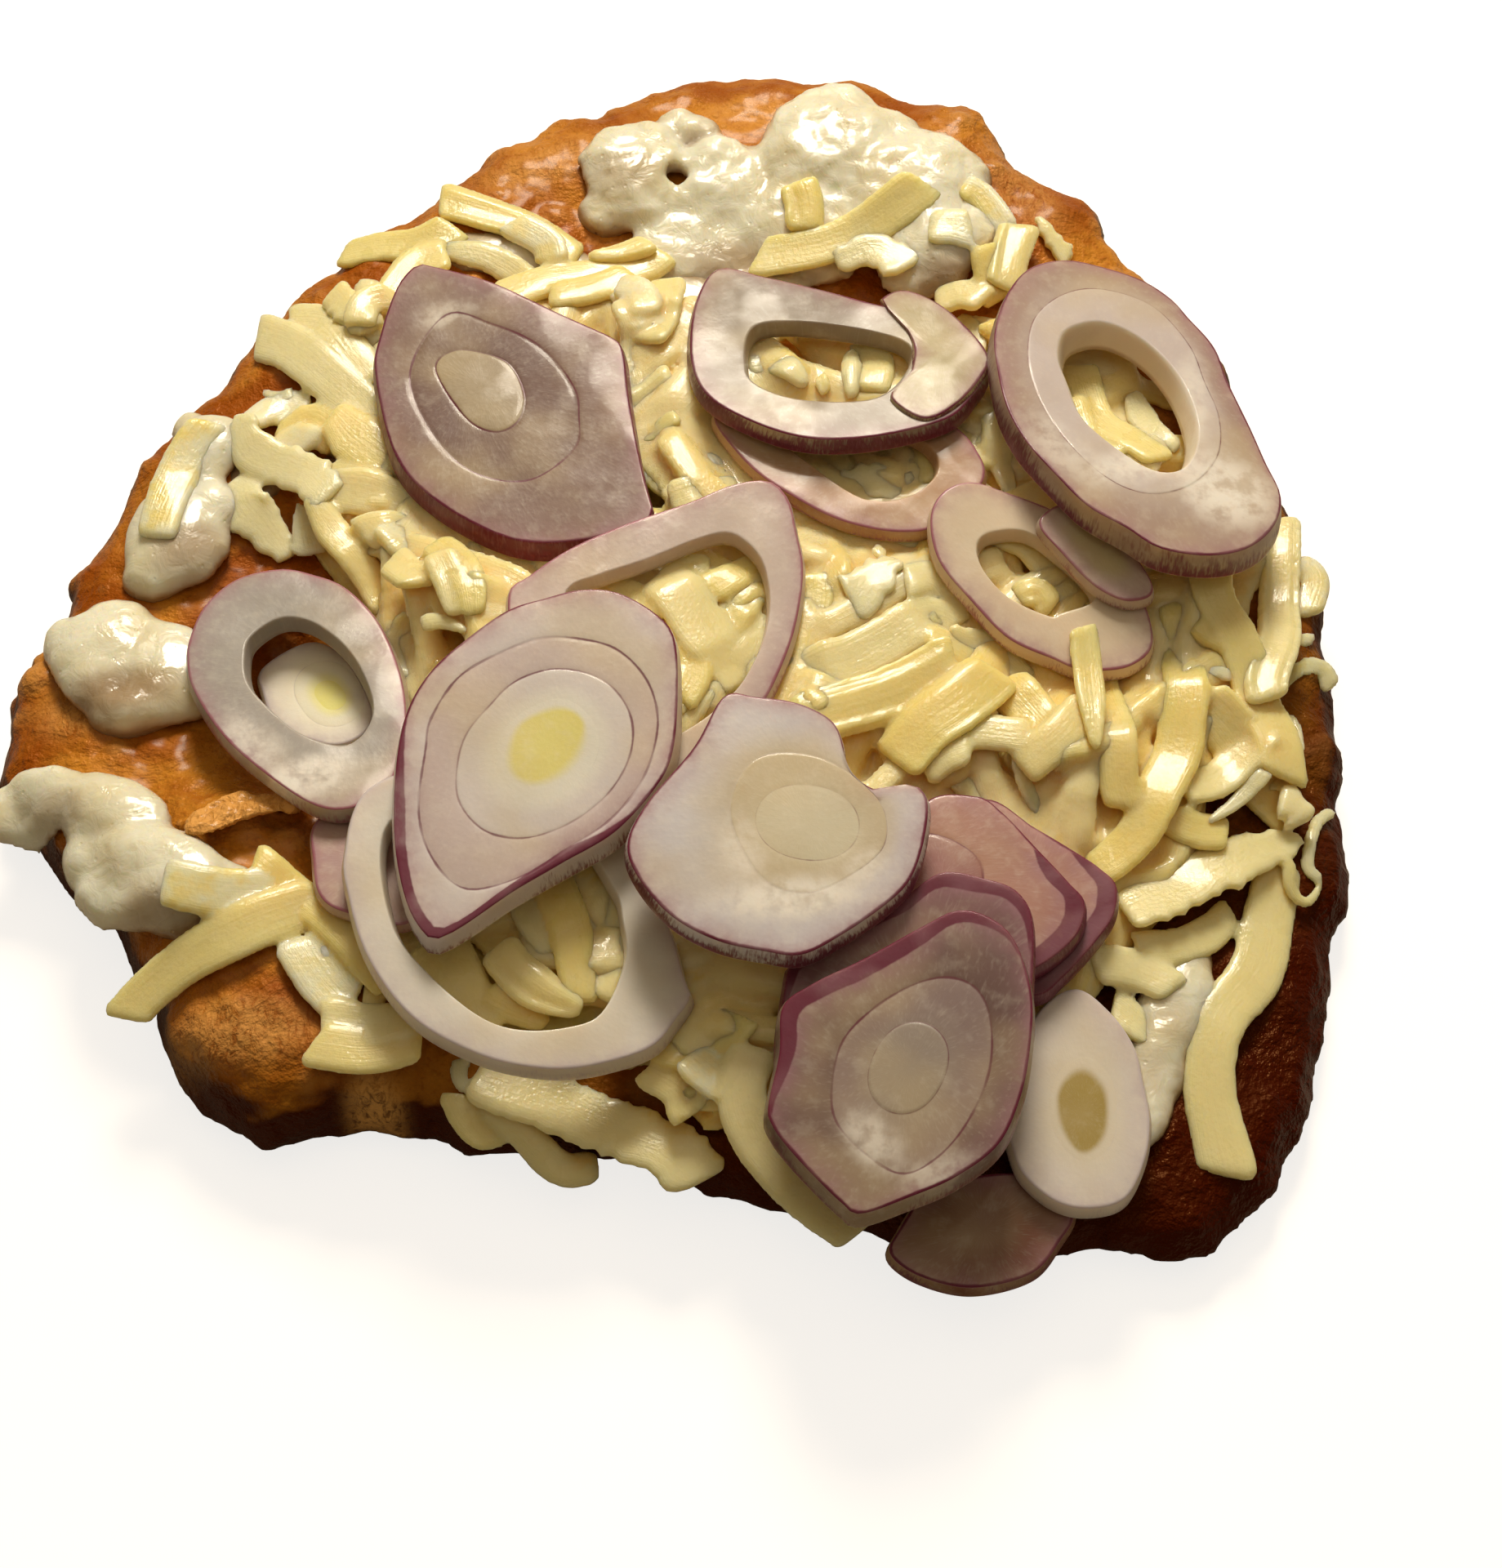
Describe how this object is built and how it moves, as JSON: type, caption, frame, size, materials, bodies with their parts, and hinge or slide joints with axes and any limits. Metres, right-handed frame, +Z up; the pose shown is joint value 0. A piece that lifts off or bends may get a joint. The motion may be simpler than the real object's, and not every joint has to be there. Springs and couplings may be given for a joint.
{
  "type": "topped fried flatbread",
  "caption": "Langos: fried flatbread with blistered crust, dollops of sour cream, a heap of grated cheese and slices and rings of red onion; a snack to be eaten by hand.",
  "frame": {"origin": "Middle of the bounding box on the surface the bread lies on.", "axes": "+Z up through the toppings; -Y towards the viewer of the picture; +X to the viewer's right."},
  "size_m": [0.2038, 0.2188, 0.0362],
  "materials": {
    "bread": "oily fried dough, golden to dark brown, blistered",
    "cream": "wet glossy sour cream, off-white",
    "cheese": "pale yellow grated cheese with a waxy sheen",
    "onion": "moist translucent onion flesh with purple skin and layer lines"
  },
  "bodies": {
    "root": {"bread": "bread", "cream_top": "cream", "cream_left_upper": "cream", "cream_left_mid": "cream", "cream_left_low": "cream", "cream_right_low": "cream", "cheese_heap": "cheese", "onion_slice_on_crust": "onion", "onion_disc_lower_right": "onion", "onion_slice_pink_lower": "onion", "onion_slice_pink_upper": "onion", "onion_slice_front_under": "onion", "onion_disc_front": "onion", "onion_ring_top_under": "onion", "onion_ring_top": "onion", "onion_disc_upper_left": "onion", "onion_ring_right": "onion", "onion_disc_right": "onion", "onion_ring_upper_right": "onion", "onion_slice_lower_left": "onion", "onion_disc_left": "onion", "onion_ring_left": "onion", "onion_ring_lower_left": "onion", "onion_ring_middle": "onion", "onion_disc_middle": "onion", "onion_disc_centre": "onion"}
  },
  "joints": []
}
